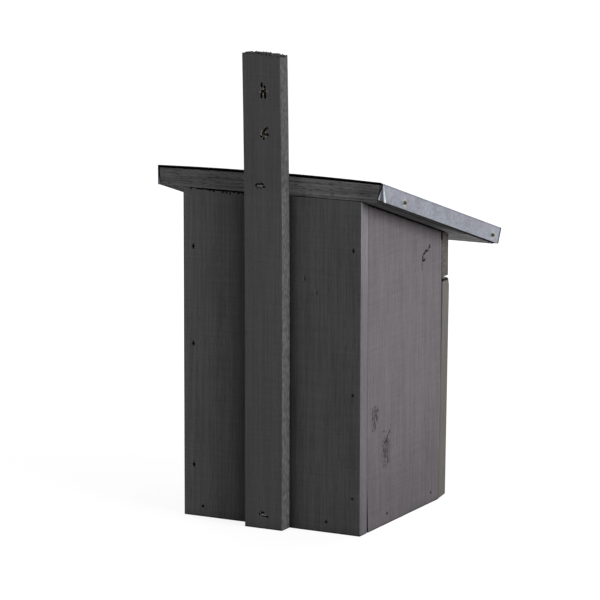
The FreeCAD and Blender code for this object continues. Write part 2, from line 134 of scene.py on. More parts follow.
# Grid of the boards' meshes, and how deep the saw and the weather have worked into them
arris = 0.5 * MM
grid_across = 1.7 * MM
grid_along = 9.0 * MM
grid_edge = 2.6 * MM
grid_plain = 4.0 * MM
grid_plain_across = 2.5 * MM
finest_step = 0.8 * MM
line_gap = 0.12 * MM
rib_pitch = 3.6 * MM
rib_run = 80.0 * MM
rib_depth = 0.07 * MM
band_pitch = 17.0 * MM
band_run = 210.0 * MM
band_depth = 0.16 * MM
nail_radius = 1.5 * MM
nail_reach = 6.0 * MM
scar_raggedness = 0.35
scar_tooth = 1.3 * MM
cutter_sides = 48


def upright_face(axis, plane):
    """A function that puts a pair of numbers on a face: millimetres across, and above the underside."""

    def place(across, height):
        point = Vector((across * MM, across * MM, underside + height * MM))
        point[axis] = plane
        return point

    return place


on_back = upright_face(Y, back_high.y)
on_left_side = upright_face(X, left_low.x)
on_batten = upright_face(Y, batten_high.y)


def mixed(low, high, share):
    return low + (high - low) * share


def smooth(value):
    """A ramp from 0 to 1 with soft ends."""
    share = min(max(value, 0.0), 1.0)
    return share * share * (3.0 - 2.0 * share)


def under_roof(y):
    """Height of the roof board's underside at a depth y."""
    return roof_corner.z + (y - roof_corner.y) * math.tan(roof_pitch)


def on_roof(x, along, above):
    """A place of the roof's own frame: so far down the slope, and so far above the board's underside."""
    y = roof_corner.y - along * math.cos(roof_pitch) - above * math.sin(roof_pitch)
    z = roof_corner.z - along * math.sin(roof_pitch) + above * math.cos(roof_pitch)
    return Vector((x, y, z))


# Meshes


def grid_lines(length, step, fine=()):
    """Places of grid lines along a board's edge: even steps, closer at both ends and in the fine
    stretches, which are (low, high, step)."""
    count = max(1, round((length - 2 * arris) / step))
    lines = [0.0, arris / 3, length - arris / 3]
    lines += [mixed(arris, length - arris, index / count) for index in range(count + 1)]
    for low, high, fine_step in fine:
        steps = math.ceil((high - low) / fine_step)
        lines += [mixed(low, high, index / steps) for index in range(steps + 1)]
    kept = []
    for line in sorted(lines):
        if 0.0 <= line < length - line_gap and (not kept or line - kept[-1] > line_gap):
            kept.append(line)
    return kept + [length]


def rounded_box(lines):
    """A closed mesh of a box with rounded edges. lines holds the grid lines along x, y and z."""
    size = [axis_lines[-1] for axis_lines in lines]
    mesh = bmesh.new()
    made = {}

    def corner(key):
        if key not in made:
            flat = Vector([axis_lines[index] for axis_lines, index in zip(lines, key)])
            core = Vector([min(max(v, arris), s - arris) for v, s in zip(flat, size)])
            made[key] = mesh.verts.new(core + (flat - core).normalized() * arris)
        return made[key]

    for axis in (X, Y, Z):
        first, second = (axis + 1) % 3, (axis + 2) % 3
        for side in (0, len(lines[axis]) - 1):
            for i in range(len(lines[first]) - 1):
                for j in range(len(lines[second]) - 1):
                    keys = []
                    for step_i, step_j in ((0, 0), (1, 0), (1, 1), (0, 1)):
                        key = [side, side, side]
                        key[first] = i + step_i
                        key[second] = j + step_j
                        keys.append(tuple(key))
                    mesh.faces.new([corner(key) for key in keys])
    return mesh


def grain_noise(point, grain, pitch, run, seed):
    """Noise drawn out along the grain, from -1 to 1."""
    scaled = [value / (run if axis == grain else pitch) for axis, value in enumerate(point)]
    return noise.noise(Vector(scaled) + Vector((seed, 2.0 * seed, 3.0 * seed)))


def sawn_depth(point, grain, seed):
    """How far the sawn surface lies below the flat one."""
    ribs = 0.5 + 0.5 * grain_noise(point, grain, rib_pitch, rib_run, seed)
    bands = 0.5 + 0.5 * grain_noise(point, grain, band_pitch, band_run, seed + 7)
    return rib_depth * ribs + band_depth * bands


def scar(points, reach, depth, tone):
    """A mark in a board: a line through points, its half width and depth in millimetres, and how dark
    it is. A depth below 0 stands proud, and a tone below 0 is torn wood without paint."""
    margin = 1.5 * reach * MM
    return {
        "points": points,
        "low": Vector([min(point[axis] for point in points) - margin for axis in (X, Y, Z)]),
        "high": Vector([max(point[axis] for point in points) + margin for axis in (X, Y, Z)]),
        "reach": reach * MM,
        "depth": depth * MM,
        "tone": tone,
    }


def scars_on(place, lines, reach, depth, tone):
    """One scar for each line of pairs, which place puts on a face."""
    return [scar([place(*pair) for pair in line], reach, depth, tone) for line in lines]


def may_touch(point, mark):
    """Whether a point lies in the box round a scar."""
    low, high = mark["low"], mark["high"]
    if not low.z < point.z < high.z:
        return False
    return low.x < point.x < high.x and low.y < point.y < high.y


def away_from(point, points):
    """Distance to a line through points."""
    nearest = min((point - corner).length for corner in points)
    for start, end in zip(points, points[1:]):
        share = intersect_point_line(point, start, end)[1]
        if 0.0 < share < 1.0:
            nearest = min(nearest, (point - start.lerp(end, share)).length)
    return nearest


def scar_share(point, mark):
    """1 in the middle of a scar, 0 outside it, with a ragged border."""
    away = away_from(point, mark["points"]) / mark["reach"]
    ragged = scar_raggedness * noise.noise(point / scar_tooth)
    return smooth(1.6 * (1.0 + ragged - away))


def nail_heads(node, axis, side):
    """Centres of the nail heads of a node. The nails lie along axis, and side is min or max, for the end
    of them where the heads are."""
    boxes = []
    for vertex in nodes[node].data.vertices:
        point = vertex.co.copy()
        height = point[axis]
        point[axis] = 0.0
        near = [box for box in boxes if (box["first"] - point).length < nail_reach]
        if not near:
            near = [{"first": point, "low": point.copy(), "high": point.copy(), "heights": []}]
            boxes += near
        near[0]["low"] = Vector(map(min, near[0]["low"], point))
        near[0]["high"] = Vector(map(max, near[0]["high"], point))
        near[0]["heights"].append(height)
    heads = []
    for box in boxes:
        centre = (box["low"] + box["high"]) / 2
        centre[axis] = side(box["heights"])
        heads.append(centre)
    return heads


def clear_of_nails(point, heads):
    """0 at a nail head, which lies level with the wood, and 1 away from it."""
    gaps = [(point - head).length - nail_radius for head in heads]
    return min([smooth(gap / nail_reach) for gap in gaps], default=1.0)


def to_object(name, mesh, *materials):
    """Turn a finished bmesh into an object."""
    data = bpy.data.meshes.new(name)
    mesh.to_mesh(data)
    mesh.free()
    for material in materials:
        data.materials.append(material)
    piece = bpy.data.objects.new(name, data)
    bpy.context.scene.collection.objects.link(piece)
    return piece


def shade_smooth(piece, angle=math.radians(40)):
    """Smooth shading with sharp edges above an angle."""
    for polygon in piece.data.polygons:
        polygon.use_smooth = True
    piece.data.set_sharp_from_angle(angle=angle)


def turned_cutter(centre, rings):
    """A solid of revolution about a line along Y or Z through centre: rings are (offset, radius)."""
    mesh = bmesh.new()
    axis = (rings[-1][0] - rings[0][0]).normalized()
    across = Vector((1.0, 0.0, 0.0))
    other = axis.cross(across)
    loops = []
    for offset, radius in rings:
        loop = []
        for index in range(cutter_sides):
            angle = 2.0 * math.pi * index / cutter_sides
            spoke = across * math.cos(angle) + other * math.sin(angle)
            loop.append(mesh.verts.new(centre + offset + spoke * radius))
        loops.append(loop)
    for lower, upper in zip(loops, loops[1:]):
        for index in range(cutter_sides):
            following = (index + 1) % cutter_sides
            mesh.faces.new((lower[index], lower[following], upper[following], upper[index]))
    mesh.faces.new(loops[0][::-1])
    mesh.faces.new(loops[-1])
    bmesh.ops.recalc_face_normals(mesh, faces=mesh.faces)
    return to_object("cutter", mesh)


def block_cutter(low, high):
    """A block between two corners."""
    mesh = bmesh.new()
    bmesh.ops.create_cube(mesh, size=1.0)
    for vertex in mesh.verts:
        vertex.co = [mixed(a, b, share + 0.5) for a, b, share in zip(low, high, vertex.co)]
    return to_object("cutter", mesh)


def carve(piece, cutters):
    """Cut cutter objects out of a piece, then delete them."""
    for cutter in cutters:
        cutter.data.materials.append(piece.data.materials[0])
        modifier = piece.modifiers.new("carve", "BOOLEAN")
        modifier.object = cutter
        modifier.operation = "DIFFERENCE"
        modifier.solver = "EXACT"
    graph = bpy.context.evaluated_depsgraph_get()
    carved = bpy.data.meshes.new_from_object(piece.evaluated_get(graph))
    piece.modifiers.clear()
    piece.data = carved
    for cutter in cutters:
        bpy.data.objects.remove(cutter)


def settle(piece, node, body):
    """Let a piece stand for a CAD node."""
    shade_smooth(piece)
    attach(piece, body)
    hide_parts(node)


# Node helpers


def new_material(name):
    material = bpy.data.materials.new(name)
    material.use_nodes = True
    tree = material.node_tree
    return material, tree, tree.nodes["Principled BSDF"]


def add_node(tree, kind, inputs=(), **settings):
    """Add a node, set its properties, and set or link its inputs by name or number."""
    node = tree.nodes.new(kind)
    for key, value in settings.items():
        setattr(node, key, value)
    for key, value in dict(inputs).items():
        if isinstance(value, bpy.types.NodeSocket):
            tree.links.new(value, node.inputs[key])
        else:
            node.inputs[key].default_value = value
    return node


def object_point(tree, seed=0.0):
    """Coordinates in the part's frame, moved by a seed so that no two boards match."""
    point = add_node(tree, "ShaderNodeTexCoord").outputs["Object"]
    shift = (0.37 * seed, 0.61 * seed, 0.83 * seed)
    return add_node(tree, "ShaderNodeVectorMath", {0: point, 1: shift}, operation="ADD").outputs[0]


def part_of(tree, vector, axis):
    """One coordinate of a vector."""
    return add_node(tree, "ShaderNodeSeparateXYZ", {0: vector}).outputs[axis]


def math_node(tree, operation, *values):
    return add_node(tree, "ShaderNodeMath", dict(enumerate(values)), operation=operation).outputs[0]


def vector_value(tree, operation, *vectors):
    """A number found from vectors, such as a length."""
    inputs = dict(enumerate(vectors))
    return add_node(tree, "ShaderNodeVectorMath", inputs, operation=operation).outputs["Value"]


def ramp(tree, value, low, high, to_low=0.0, to_high=1.0):
    """Map a value from low..high to another range, clamped, with soft ends."""
    inputs = {"Value": value, "From Min": low, "From Max": high, "To Min": to_low, "To Max": to_high}
    node = add_node(tree, "ShaderNodeMapRange", inputs, interpolation_type="SMOOTHSTEP")
    return node.outputs["Result"]


def product(tree, first, *others):
    total = first
    for value in others:
        total = math_node(tree, "MULTIPLY", total, value)
    return total


def blend_colour(tree, share, first, second):
    """A mix of two colours, each a socket or a constant."""
    inputs = {0: share, 6: first, 7: second}
    return add_node(tree, "ShaderNodeMix", inputs, data_type="RGBA").outputs[2]


def scale_colour(tree, colour, value):
    inputs = {0: colour, "Scale": value}
    return add_node(tree, "ShaderNodeVectorMath", inputs, operation="SCALE").outputs[0]


def streaks(tree, point, grain, size, detail=2.0):
    """Noise that is drawn out along the grain. size is its width and its length."""
    pitch, run = size
    scale = [1.0 / (run if axis == grain else pitch) for axis in (X, Y, Z)]
    stretched = add_node(tree, "ShaderNodeMapping", {"Vector": point, "Scale": scale}).outputs[0]
    inputs = {"Vector": stretched, "Scale": 1.0, "Detail": detail, "Roughness": 0.55}
    return add_node(tree, "ShaderNodeTexNoise", inputs).outputs[0]


def weighted(tree, parts, contrast, tone):
    """tone times 1 plus contrast times a sum of noises, each weighted and centred on 0."""
    total = 0.0
    middle = 0.0
    for value, weight in parts:
        total = math_node(tree, "MULTIPLY_ADD", value, weight, total)
        middle += weight / 2
    return math_node(tree, "MULTIPLY_ADD", total, contrast * tone, tone * (1.0 - contrast * middle))


def toned(tree, share, tone):
    """1 where share is 0, and tone where share is 1."""
    return add_node(tree, "ShaderNodeMix", {0: share, 2: 1.0, 3: tone}).outputs[0]


def by_height(tree, low, high, to_low=0.0, to_high=1.0):
    """A ramp between two heights above the box's underside."""
    height = part_of(tree, object_point(tree), Z)
    return ramp(tree, height, underside + low, underside + high, to_low, to_high)


def facing(tree, direction):
    """How far a face looks in a direction: 1 straight at it, 0 across it."""
    normal = add_node(tree, "ShaderNodeNewGeometry").outputs["Normal"]
    return vector_value(tree, "DOT_PRODUCT", normal, direction)


def face_mask(tree, direction):
    """1 on faces that look in a direction, and 0 on others."""
    return ramp(tree, facing(tree, direction), 0.75, 0.95)


def end_mask(tree, low, high):
    """1 on faces that look to the left or the right, and 0 on others."""
    return ramp(tree, math_node(tree, "ABSOLUTE", facing(tree, LEFT)), low, high)


def set_surface(tree, shader, colour, roughness, metallic):
    tree.links.new(colour, shader.inputs["Base Color"])
    tree.links.new(roughness, shader.inputs["Roughness"])
    shader.inputs["Metallic"].default_value = metallic


def add_bump(tree, shader, height, strength, distance):
    inputs = {"Height": height, "Strength": strength, "Distance": distance}
    tree.links.new(add_node(tree, "ShaderNodeBump", inputs).outputs[0], shader.inputs["Normal"])


# Wood

paint = (0.140, 0.139, 0.140, 1.0)
paint_purple = (0.148, 0.135, 0.145, 1.0)
paint_violet = (0.142, 0.135, 0.146, 1.0)
paint_beige = (0.150, 0.141, 0.130, 1.0)
paint_dark = (0.008, 0.008, 0.008, 1.0)
pine_light = (0.62, 0.44, 0.25, 1.0)
pine_dark = (0.43, 0.27, 0.13, 1.0)
torn_wood = (0.29, 0.24, 0.15, 1.0)
bare_border = 1.2 * MM
foot_shade_low = 0.4 * MM
foot_shade_high = 2.0 * MM
soft_border = 0.5 * MM
fine_pores = {"size": (0.7 * MM, 12.0 * MM), "tone": 0.82}
pale_pores = {"size": (0.8 * MM, 5.0 * MM), "tone": 0.88}
short_pores = {"size": (1.0 * MM, 8.0 * MM), "tone": 0.38}
blunt_pores = {"size": (1.6 * MM, 6.0 * MM), "tone": 0.45}

# Patterns in the wood: how wide their streaks are, and how far they run along the grain
ribs_size = (2.3 * MM, 90.0 * MM)
fibres_size = (0.8 * MM, 20.0 * MM)
bands_size = (13.0 * MM, 230.0 * MM)
clouds_size = (38.0 * MM, 38.0 * MM)
specks_size = (1.2 * MM, 4.0 * MM)
saw_marks_size = (2.0 * MM, 50.0 * MM)
batten_shade_edge_size = (6.0 * MM, 40.0 * MM)
blotches_size = (1.6 * MM, 5.0 * MM)
growth_lines_size = (3.4 * MM, 260.0 * MM)
pine_fibres_size = (0.5 * MM, 30.0 * MM)


def pine_colour(tree, point, grain):
    """Bare planed softwood with its growth lines."""
    lines = streaks(tree, point, grain, growth_lines_size, 3.0)
    fibres = streaks(tree, point, grain, pine_fibres_size)
    share = math_node(tree, "MULTIPLY_ADD", fibres, 0.4, ramp(tree, lines, 0.40, 0.66))
    return blend_colour(tree, product(tree, share, 0.7), pine_light, pine_dark)


def chamber_mask(tree):
    """1 on the faces round the nest chamber, which were never painted."""
    point = object_point(tree)
    x, y, z = [part_of(tree, point, axis) for axis in (X, Y, Z)]
    soft = 0.2 * MM
    half = left_high.x
    from_middle = math_node(tree, "ABSOLUTE", x)
    sides = ramp(tree, from_middle, -half + bare_border + soft, -half + bare_border - soft)
    rear = ramp(tree, y, back_low.y + bare_border + soft, back_low.y + bare_border - soft)
    above = ramp(tree, z, floor_high.z - bare_border - soft, floor_high.z - bare_border + soft)
    leaning = math_node(tree, "MULTIPLY_ADD", z, math.tan(door_lean), y)
    door_plane = door_inner + hinge_axis.z * math.tan(door_lean) - bare_border
    front = ramp(tree, leaning, door_plane - soft, door_plane + soft)
    return product(tree, sides, rear, above, front)


def back_shade_and_tone(tree):
    """Painted shade along both edges of the batten, wider on the right; a tone that grows lighter towards the
    right; and on the ends, painted light at the top and painted shade towards the foot."""
    point = object_point(tree)
    x = part_of(tree, point, X)
    half = batten_width / 2
    ragged = streaks(tree, point, Z, batten_shade_edge_size)
    from_middle = math_node(tree, "MULTIPLY_ADD", ragged, 5.0 * MM, math_node(tree, "ABSOLUTE", x))
    # painted shade at the batten's foot: darkest beside it, fading within a few centimetres
    darkest_shade = ramp(tree, x, -batten_width, batten_width, 0.30, 0.26)
    shade_reach = ramp(tree, x, -batten_width, batten_width, half + 12.0 * MM, half + 34.0 * MM)
    batten_shaded = math_node(tree, "SUBTRACT", 1.0, ramp(tree, from_middle, half, shade_reach))
    batten_foot_shade = toned(tree, batten_shaded, darkest_shade)
    # painted light on the top of the ends, under the roof
    lit_top = by_height(tree, 230.0 * MM, 300.0 * MM, 1.0, 1.3)
    end_tone = product(tree, side_foot_shade(tree), lit_top)
    end = toned(tree, end_mask(tree, 0.75, 0.95), end_tone)
    return product(tree, batten_foot_shade, end, ramp(tree, x, back_low.x, back_high.x, 0.94, 1.26))


def batten_shade_and_blotches(tree):
    """Painted shade that darkens the part that stands above the roof and lightens the face below it, and paint
    that is blotchy on the left edge.
    """
    spots = streaks(tree, object_point(tree), Z, blotches_size)
    blotches = ramp(tree, spots, 0.3, 0.7, 0.64, 1.36)
    # painted shade above the roof line
    above_roof = by_height(tree, 320.0 * MM, 370.0 * MM)
    edge_tone = product(tree, blotches, ramp(tree, above_roof, 0.0, 1.0, 1.0, 0.76))
    face_tone = ramp(tree, above_roof, 0.0, 1.0, 1.07, 0.97)
    return product(tree, face_tone, toned(tree, face_mask(tree, LEFT), edge_tone))


def roof_light_and_shade(tree):
    """Painted light and shade: an underside that is pale where it overhangs in front and dark over the box and by
    the flaps, dark ends, and a darker left corner."""
    point = object_point(tree)
    x, y = [part_of(tree, point, axis) for axis in (X, Y)]
    half = back_high.x
    off_middle = math_node(tree, "ABSOLUTE", x)
    behind_front = ramp(tree, y, rail_low.y - soft_border, rail_low.y + soft_border)
    # painted light on the underside of the front overhang
    overhang = ramp(tree, y, rail_low.y, rail_low.y + 60.0 * MM, 4.6, 1.4)
    # painted shade on the underside over the box and next to the flaps
    over_sides = ramp(tree, off_middle, half + soft_border, half - soft_border)
    over_box = product(tree, over_sides, behind_front)
    near_flap = ramp(tree, off_middle, half + 10.0 * MM, half + 19.0 * MM, 1.0, 0.3)
    by_flap = toned(tree, behind_front, near_flap)
    underneath = product(tree, overhang, by_flap, toned(tree, over_box, 0.04))
    below = toned(tree, face_mask(tree, DOWN), underneath)
    # painted shade on the ends under the zinc flaps, and at the left corner
    end_tone = ramp(tree, y, left_low.y, left_low.y + 90.0 * MM, 0.06, 0.22)
    end = toned(tree, end_mask(tree, 0.6, 0.85), end_tone)
    left_corner = ramp(tree, x, -half - 4.0 * MM, -half + 10.0 * MM, 0.82, 1.0)
    return product(tree, below, end, left_corner)


def side_foot_shade(tree):
    """Painted shade that darkens the paint towards the foot."""
    return by_height(tree, 20.0 * MM, 120.0 * MM, 0.86, 1.0)


def door_light_and_shade(tree):
    """Painted light and shade by height: darkest below the middle of the door, lighter towards its top."""
    lower = by_height(tree, 30.0 * MM, 90.0 * MM, 0.97, 0.89)
    upper = by_height(tree, 110.0 * MM, 200.0 * MM, 1.0, 1.13)
    return product(tree, lower, upper)


def painted_wood(name, grain, seed, tone=1.0, contrast=1.0, tint=paint, faces=(), light_shade_and_wear=None,
                 pore=fine_pores, across=None):
    """Charcoal stain on sawn wood. faces lists directions with a tone and a tint of their own, some of them
    painted shade, light_shade_and_wear is a function that gives a tone by place, mostly painted light and shade,
    pore is the size and tone of the dark pores, and across is the axis that the saw's marks lie along, if they
    show."""
    material, tree, shader = new_material(name)
    point = object_point(tree, seed)
    ribs = streaks(tree, point, grain, ribs_size, 1.5)
    fibres = streaks(tree, point, grain, fibres_size)
    bands = streaks(tree, point, grain, bands_size)
    clouds = streaks(tree, point, None, clouds_size, 3.0)
    pores = streaks(tree, point, grain, pore["size"], 1.0)
    specks = streaks(tree, point, grain, specks_size)

    parts = [(ramp(tree, ribs, 0.3, 0.7), 0.2), (fibres, 0.3), (bands, 0.16), (clouds, 0.2)]
    if across is not None:
        parts.append((streaks(tree, point, across, saw_marks_size, 1.0), 0.27))
    shade = weighted(tree, parts, contrast, tone)
    shade = product(tree, shade, ramp(tree, pores, 0.54, 0.70, 1.0, pore["tone"]))
    colour = blend_colour(tree, ramp(tree, clouds, 0.15, 0.45), paint, tint)
    for direction, face_tone, face_tint in faces:
        there = face_mask(tree, direction)
        shade = product(tree, shade, toned(tree, there, face_tone))
        colour = blend_colour(tree, there, colour, face_tint)
    # painted light and shade by place, and the batten's blotches
    if light_shade_and_wear:
        shade = product(tree, shade, light_shade_and_wear(tree))
    # painted shade along the foot of each board
    foot = by_height(tree, foot_shade_low, foot_shade_high, 0.2, 1.0)
    colour = scale_colour(tree, colour, product(tree, shade, foot))

    # the scar attribute darkens stains and knots, and paints shade into cracks, pits, dents, seams and gaps
    mark = add_node(tree, "ShaderNodeAttribute", attribute_name="scar").outputs["Fac"]
    speckled = ramp(tree, specks, 0.40, 0.60, 0.3, 1.9)
    faint = product(tree, math_node(tree, "MINIMUM", mark, 0.5), speckled)
    marked = math_node(tree, "MAXIMUM", ramp(tree, faint, 0.05, 0.95), ramp(tree, mark, 0.5, 0.95))
    colour = blend_colour(tree, marked, colour, paint_dark)
    colour = blend_colour(tree, ramp(tree, mark, -0.05, -0.95), colour, torn_wood)
    colour = blend_colour(tree, chamber_mask(tree), colour, pine_colour(tree, point, grain))
    roughness = ramp(tree, fibres, 0.2, 0.8, 0.66, 0.88)
    set_surface(tree, shader, colour, roughness, metallic=0.0)
    shader.inputs["Specular IOR Level"].default_value = 0.05
    height = math_node(tree, "MULTIPLY_ADD", fibres, 0.35, product(tree, ribs, 0.65))
    add_bump(tree, shader, height, 0.55, 0.25 * MM)
    return material


# Boards of the body


def fine_stretches(scars, low, *axes):
    """Stretches of a grid that cover some scars, by axis, measured from the board's low corner."""
    stretches = {axis: [] for axis in axes}
    for mark in scars:
        margin = 1.2 * mark["reach"]
        step = max(finest_step, mark["reach"] / 3)
        for axis in axes:
            places = [point[axis] - low[axis] for point in mark["points"]]
            stretches[axis].append((min(places) - margin, max(places) + margin, step))
    return stretches


def board_grid(size, steps, stretches):
    """Grid lines along x, y and z, with a step for each and fine stretches by axis."""
    return [grid_lines(size[axis], steps[axis], stretches.get(axis, ())) for axis in (X, Y, Z)]


def make_board(node, grain, seed, lines, place, look=(), heads=(), scars=(), cutters=(), body="box"):
    """A board in place of a CAD node. place moves its grid from box coordinates into the part's frame,
    then it is sawn, scarred and carved. look holds what painted_wood is told about it."""
    mesh = rounded_box(lines)
    for vertex in mesh.verts:
        vertex.co = place(vertex.co.copy())
    bmesh.ops.recalc_face_normals(mesh, faces=mesh.faces)
    mesh.normal_update()
    tone = mesh.verts.layers.float.new("scar")
    for vertex in mesh.verts:
        point = vertex.co.copy()
        depth = sawn_depth(point, grain, seed) * clear_of_nails(point, heads)
        for mark in scars:
            if may_touch(point, mark):
                share = scar_share(point, mark)
                depth += mark["depth"] * share
                vertex[tone] = mixed(vertex[tone], mark["tone"], share)
        vertex.co = point - vertex.normal * depth
    piece = to_object(node + "_board", mesh, painted_wood(node + "_paint", grain, seed, **dict(look)))
    if cutters:
        carve(piece, cutters)
    settle(piece, node, body)


def nail_rings(heads):
    """The dark ring of torn paint round each nail."""
    return [scar([head], reach=2.0, depth=0.1, tone=0.75) for head in heads]


def torn_slot(head, tone):
    """A slot along the grain where a nail was driven in."""
    half = Vector((0.0, 0.0, 2.0 * MM))
    return scar([head - half, head + half], reach=1.2, depth=0.3, tone=tone)


def back_panel_scars():
    """Two short splits, and the torn saw cut under the roof to the right of the batten, all dark with painted
    shade.
    """
    upper_split = [(-37.5, 253.5), (-37.5, 257.5)]
    lower_split = [(-50.9, 240.6), (-50.9, 244.6)]
    cut_height = 336.4
    torn_stretches = [(84.0, 77.2), (73.7, 66.9), (64.6, 46.8), (45.6, 21.5)]
    torn_lines = [[(start, cut_height), (end, cut_height)] for start, end in torn_stretches]
    torn_teeth = [
        [(91.0, 336.2)], [(69.5, 335.4)], [(65.2, 335.4)], [(54.5, 334.8)], [(50.7, 334.6)],
        [(46.3, 334.4)], [(41.9, 335.4)], [(36.9, 335.1)], [(31.0, 335.0)], [(23.0, 334.0)],
    ]
    scars = scars_on(on_back, [upper_split], reach=0.8, depth=0.3, tone=0.5)
    scars += scars_on(on_back, [lower_split], reach=0.8, depth=0.3, tone=0.4)
    # painted shade along the torn cut, in the gap under the roof
    scars += scars_on(on_back, torn_lines, reach=1.1, depth=0.3, tone=1.3)
    return scars + scars_on(on_back, torn_teeth, reach=1.5, depth=0.4, tone=1.3)


def make_back_panel():
    left_heads = nail_heads("back_nails_left", Y, max)
    right_heads = nail_heads("back_nails_right", Y, max)
    top_left_head = max(left_heads, key=lambda head: head.z)
    heads = left_heads + right_heads + nail_heads("back_floor_nails", Y, max)
    scars = nail_rings(heads)
    scars += [torn_slot(head, 1.3) for head in right_heads]
    scars += [torn_slot(top_left_head, 1.0)] + back_panel_scars()
    size = back_high - back_low
    stretches = fine_stretches(scars, back_low, X, Z)
    lines = board_grid(size, (grid_across, grid_edge, grid_along), stretches)

    def gap_under_roof(x):
        """The board's saw-cut top: nearly tight on the left, torn to the right of the batten."""
        coarse = noise.noise(Vector((x / (4.0 * MM), 5.0, 0.0)))
        fine = noise.noise(Vector((x / (1.9 * MM), 9.0, 0.0)))
        torn = max(0.1, 0.6 + 1.1 * (coarse + fine)) * MM
        where_torn = smooth((x - 20.0 * MM) / (2.0 * MM)) * smooth((90.0 * MM - x) / (30.0 * MM))
        return tight_gap + where_torn * torn

    def place(point):
        y = back_low.y + point.y
        x = back_low.x + point.x
        height = under_roof(y) - underside - gap_under_roof(x)
        return Vector((x, y, underside + height * point.z / size.z))

    ends = [(LEFT, 1.25, paint_violet), (RIGHT, 1.25, paint_violet)]
    look = {"tone": 0.9, "faces": ends, "light_shade_and_wear": back_shade_and_tone, "across": X}
    make_board("back_panel", Z, 1, lines, place, look, heads, scars)


def left_side_scars():
    """A torn crescent near the roof, a split lower down with rubbed paint below it, a knot, and the seam at the
    rail's top. The crescent, the split and the seam are dark with painted shade."""
    crescent = [(-164.4, 266.5), (-161.2, 265.3), (-157.0, 262.8), (-155.0, 260.2), (-156.0, 257.2)]
    barb = [(-156.2, 257.0), (-159.2, 256.4), (-160.8, 258.2)]
    arms = [[(-172.8, 268.3), (-167.4, 267.9)], [(-169.1, 265.4), (-163.5, 265.4)]]
    stain = [(-154.0, 256.0), (-154.0, 249.5)]
    split = [(-81.9, 95.1), (-77.0, 89.1), (-73.3, 84.9)]
    hook = [(-67.0, 97.1), (-73.1, 95.0)]
    rubbed = [(-73.5, 82.0), (-73.8, 68.0)]
    knot = [(-55.5, 120.9), (-52.7, 116.4), (-52.1, 112.9)]
    round_knot = [(-48.4, 120.0), (-48.6, 107.0)]
    seam_top = Vector((left_low.x, left_low.y, under_roof(left_low.y)))
    seam_foot = seam_top - Vector((0.0, 0.0, 8.0 * MM))
    # painted shade in the seam between the side and the rail
    scars = [scar([seam_foot, seam_top], reach=2.2, depth=0.4, tone=1.3)]
    scars += scars_on(on_left_side, [rubbed], reach=13.0, depth=0.1, tone=0.36)
    scars += scars_on(on_left_side, [round_knot], reach=11.0, depth=0.1, tone=0.36)
    scars += scars_on(on_left_side, [stain], reach=3.0, depth=0.1, tone=0.42)
    scars += scars_on(on_left_side, [crescent], reach=1.6, depth=1.2, tone=1.2)
    scars += scars_on(on_left_side, [barb], reach=1.3, depth=0.9, tone=1.3)
    scars += scars_on(on_left_side, arms, reach=0.9, depth=0.7, tone=1.0)
    scars += scars_on(on_left_side, [split], reach=1.6, depth=0.4, tone=0.8)
    scars += scars_on(on_left_side, [hook], reach=1.0, depth=0.3, tone=0.6)
    return scars + scars_on(on_left_side, [knot], reach=2.4, depth=0.3, tone=0.5)


def make_side_panel(side, low, high, foot_gap, seed, marks):
    """A side board. Its rear edge leaves a gap at the foot, and its front edge swells a little."""
    heads = nail_heads("side_floor_nails_" + side, X, min if side == "left" else max)
    scars = nail_rings(heads) + marks
    size = high - low

    def on_grid(mark):
        """The mark on the board's grid, before the slanting top presses the grid together."""
        points = []
        for point in mark["points"]:
            stretch = size.z / (under_roof(point.y) - low.z)
            points.append(Vector((point.x, point.y, low.z + (point.z - low.z) * stretch)))
        return dict(mark, points=points)

    stretches = fine_stretches([on_grid(mark) for mark in scars], low, Y, Z)
    lines = board_grid(size, (grid_edge, grid_across, grid_along), stretches)

    def place(point):
        share = point.y / size.y
        height = point.z * (under_roof(low.y + point.y) - underside) / size.z
        front = low.y + side_swell * max(0.0, 1.0 - height / side_swell_height)
        rear = high.y - foot_gap * max(0.0, 1.0 - height / corner_gap_height)
        y = mixed(front, rear, share)
        gap = side_gap + side_ripple * noise.noise(Vector((0.0, y / (5.0 * MM), seed)))
        z = underside + point.z * (under_roof(y) - gap - underside) / size.z
        return Vector((low.x + point.x, y, z))

    # painted shade on the rear end faces, which lie in the slot behind the back panel
    rear_end_shade = [(BACKWARD, 0.08, paint)]
    look = {"contrast": 0.9, "tint": paint_purple, "faces": rear_end_shade, "light_shade_and_wear": side_foot_shade, "across": Y}
    make_board("side_panel_" + side, Z, seed, lines, place, look, heads, scars)


def make_floor_board():
    size = floor_high - floor_low
    lines = board_grid(size, (grid_plain, grid_plain_across, grid_edge), {})
    middle = (floor_low + floor_high) / 2
    down = Vector((0.0, 0.0, -size.z))
    drains = []
    for x in (-size.x / 4, size.x / 4):
        for y in (-size.y / 4, size.y / 4):
            centre = middle + Vector((x, y, 0.0))
            drains.append(turned_cutter(centre, [(down, drain_radius), (-down, drain_radius)]))
    make_board("floor_board", X, 5, lines, lambda point: floor_low + point, cutters=drains)


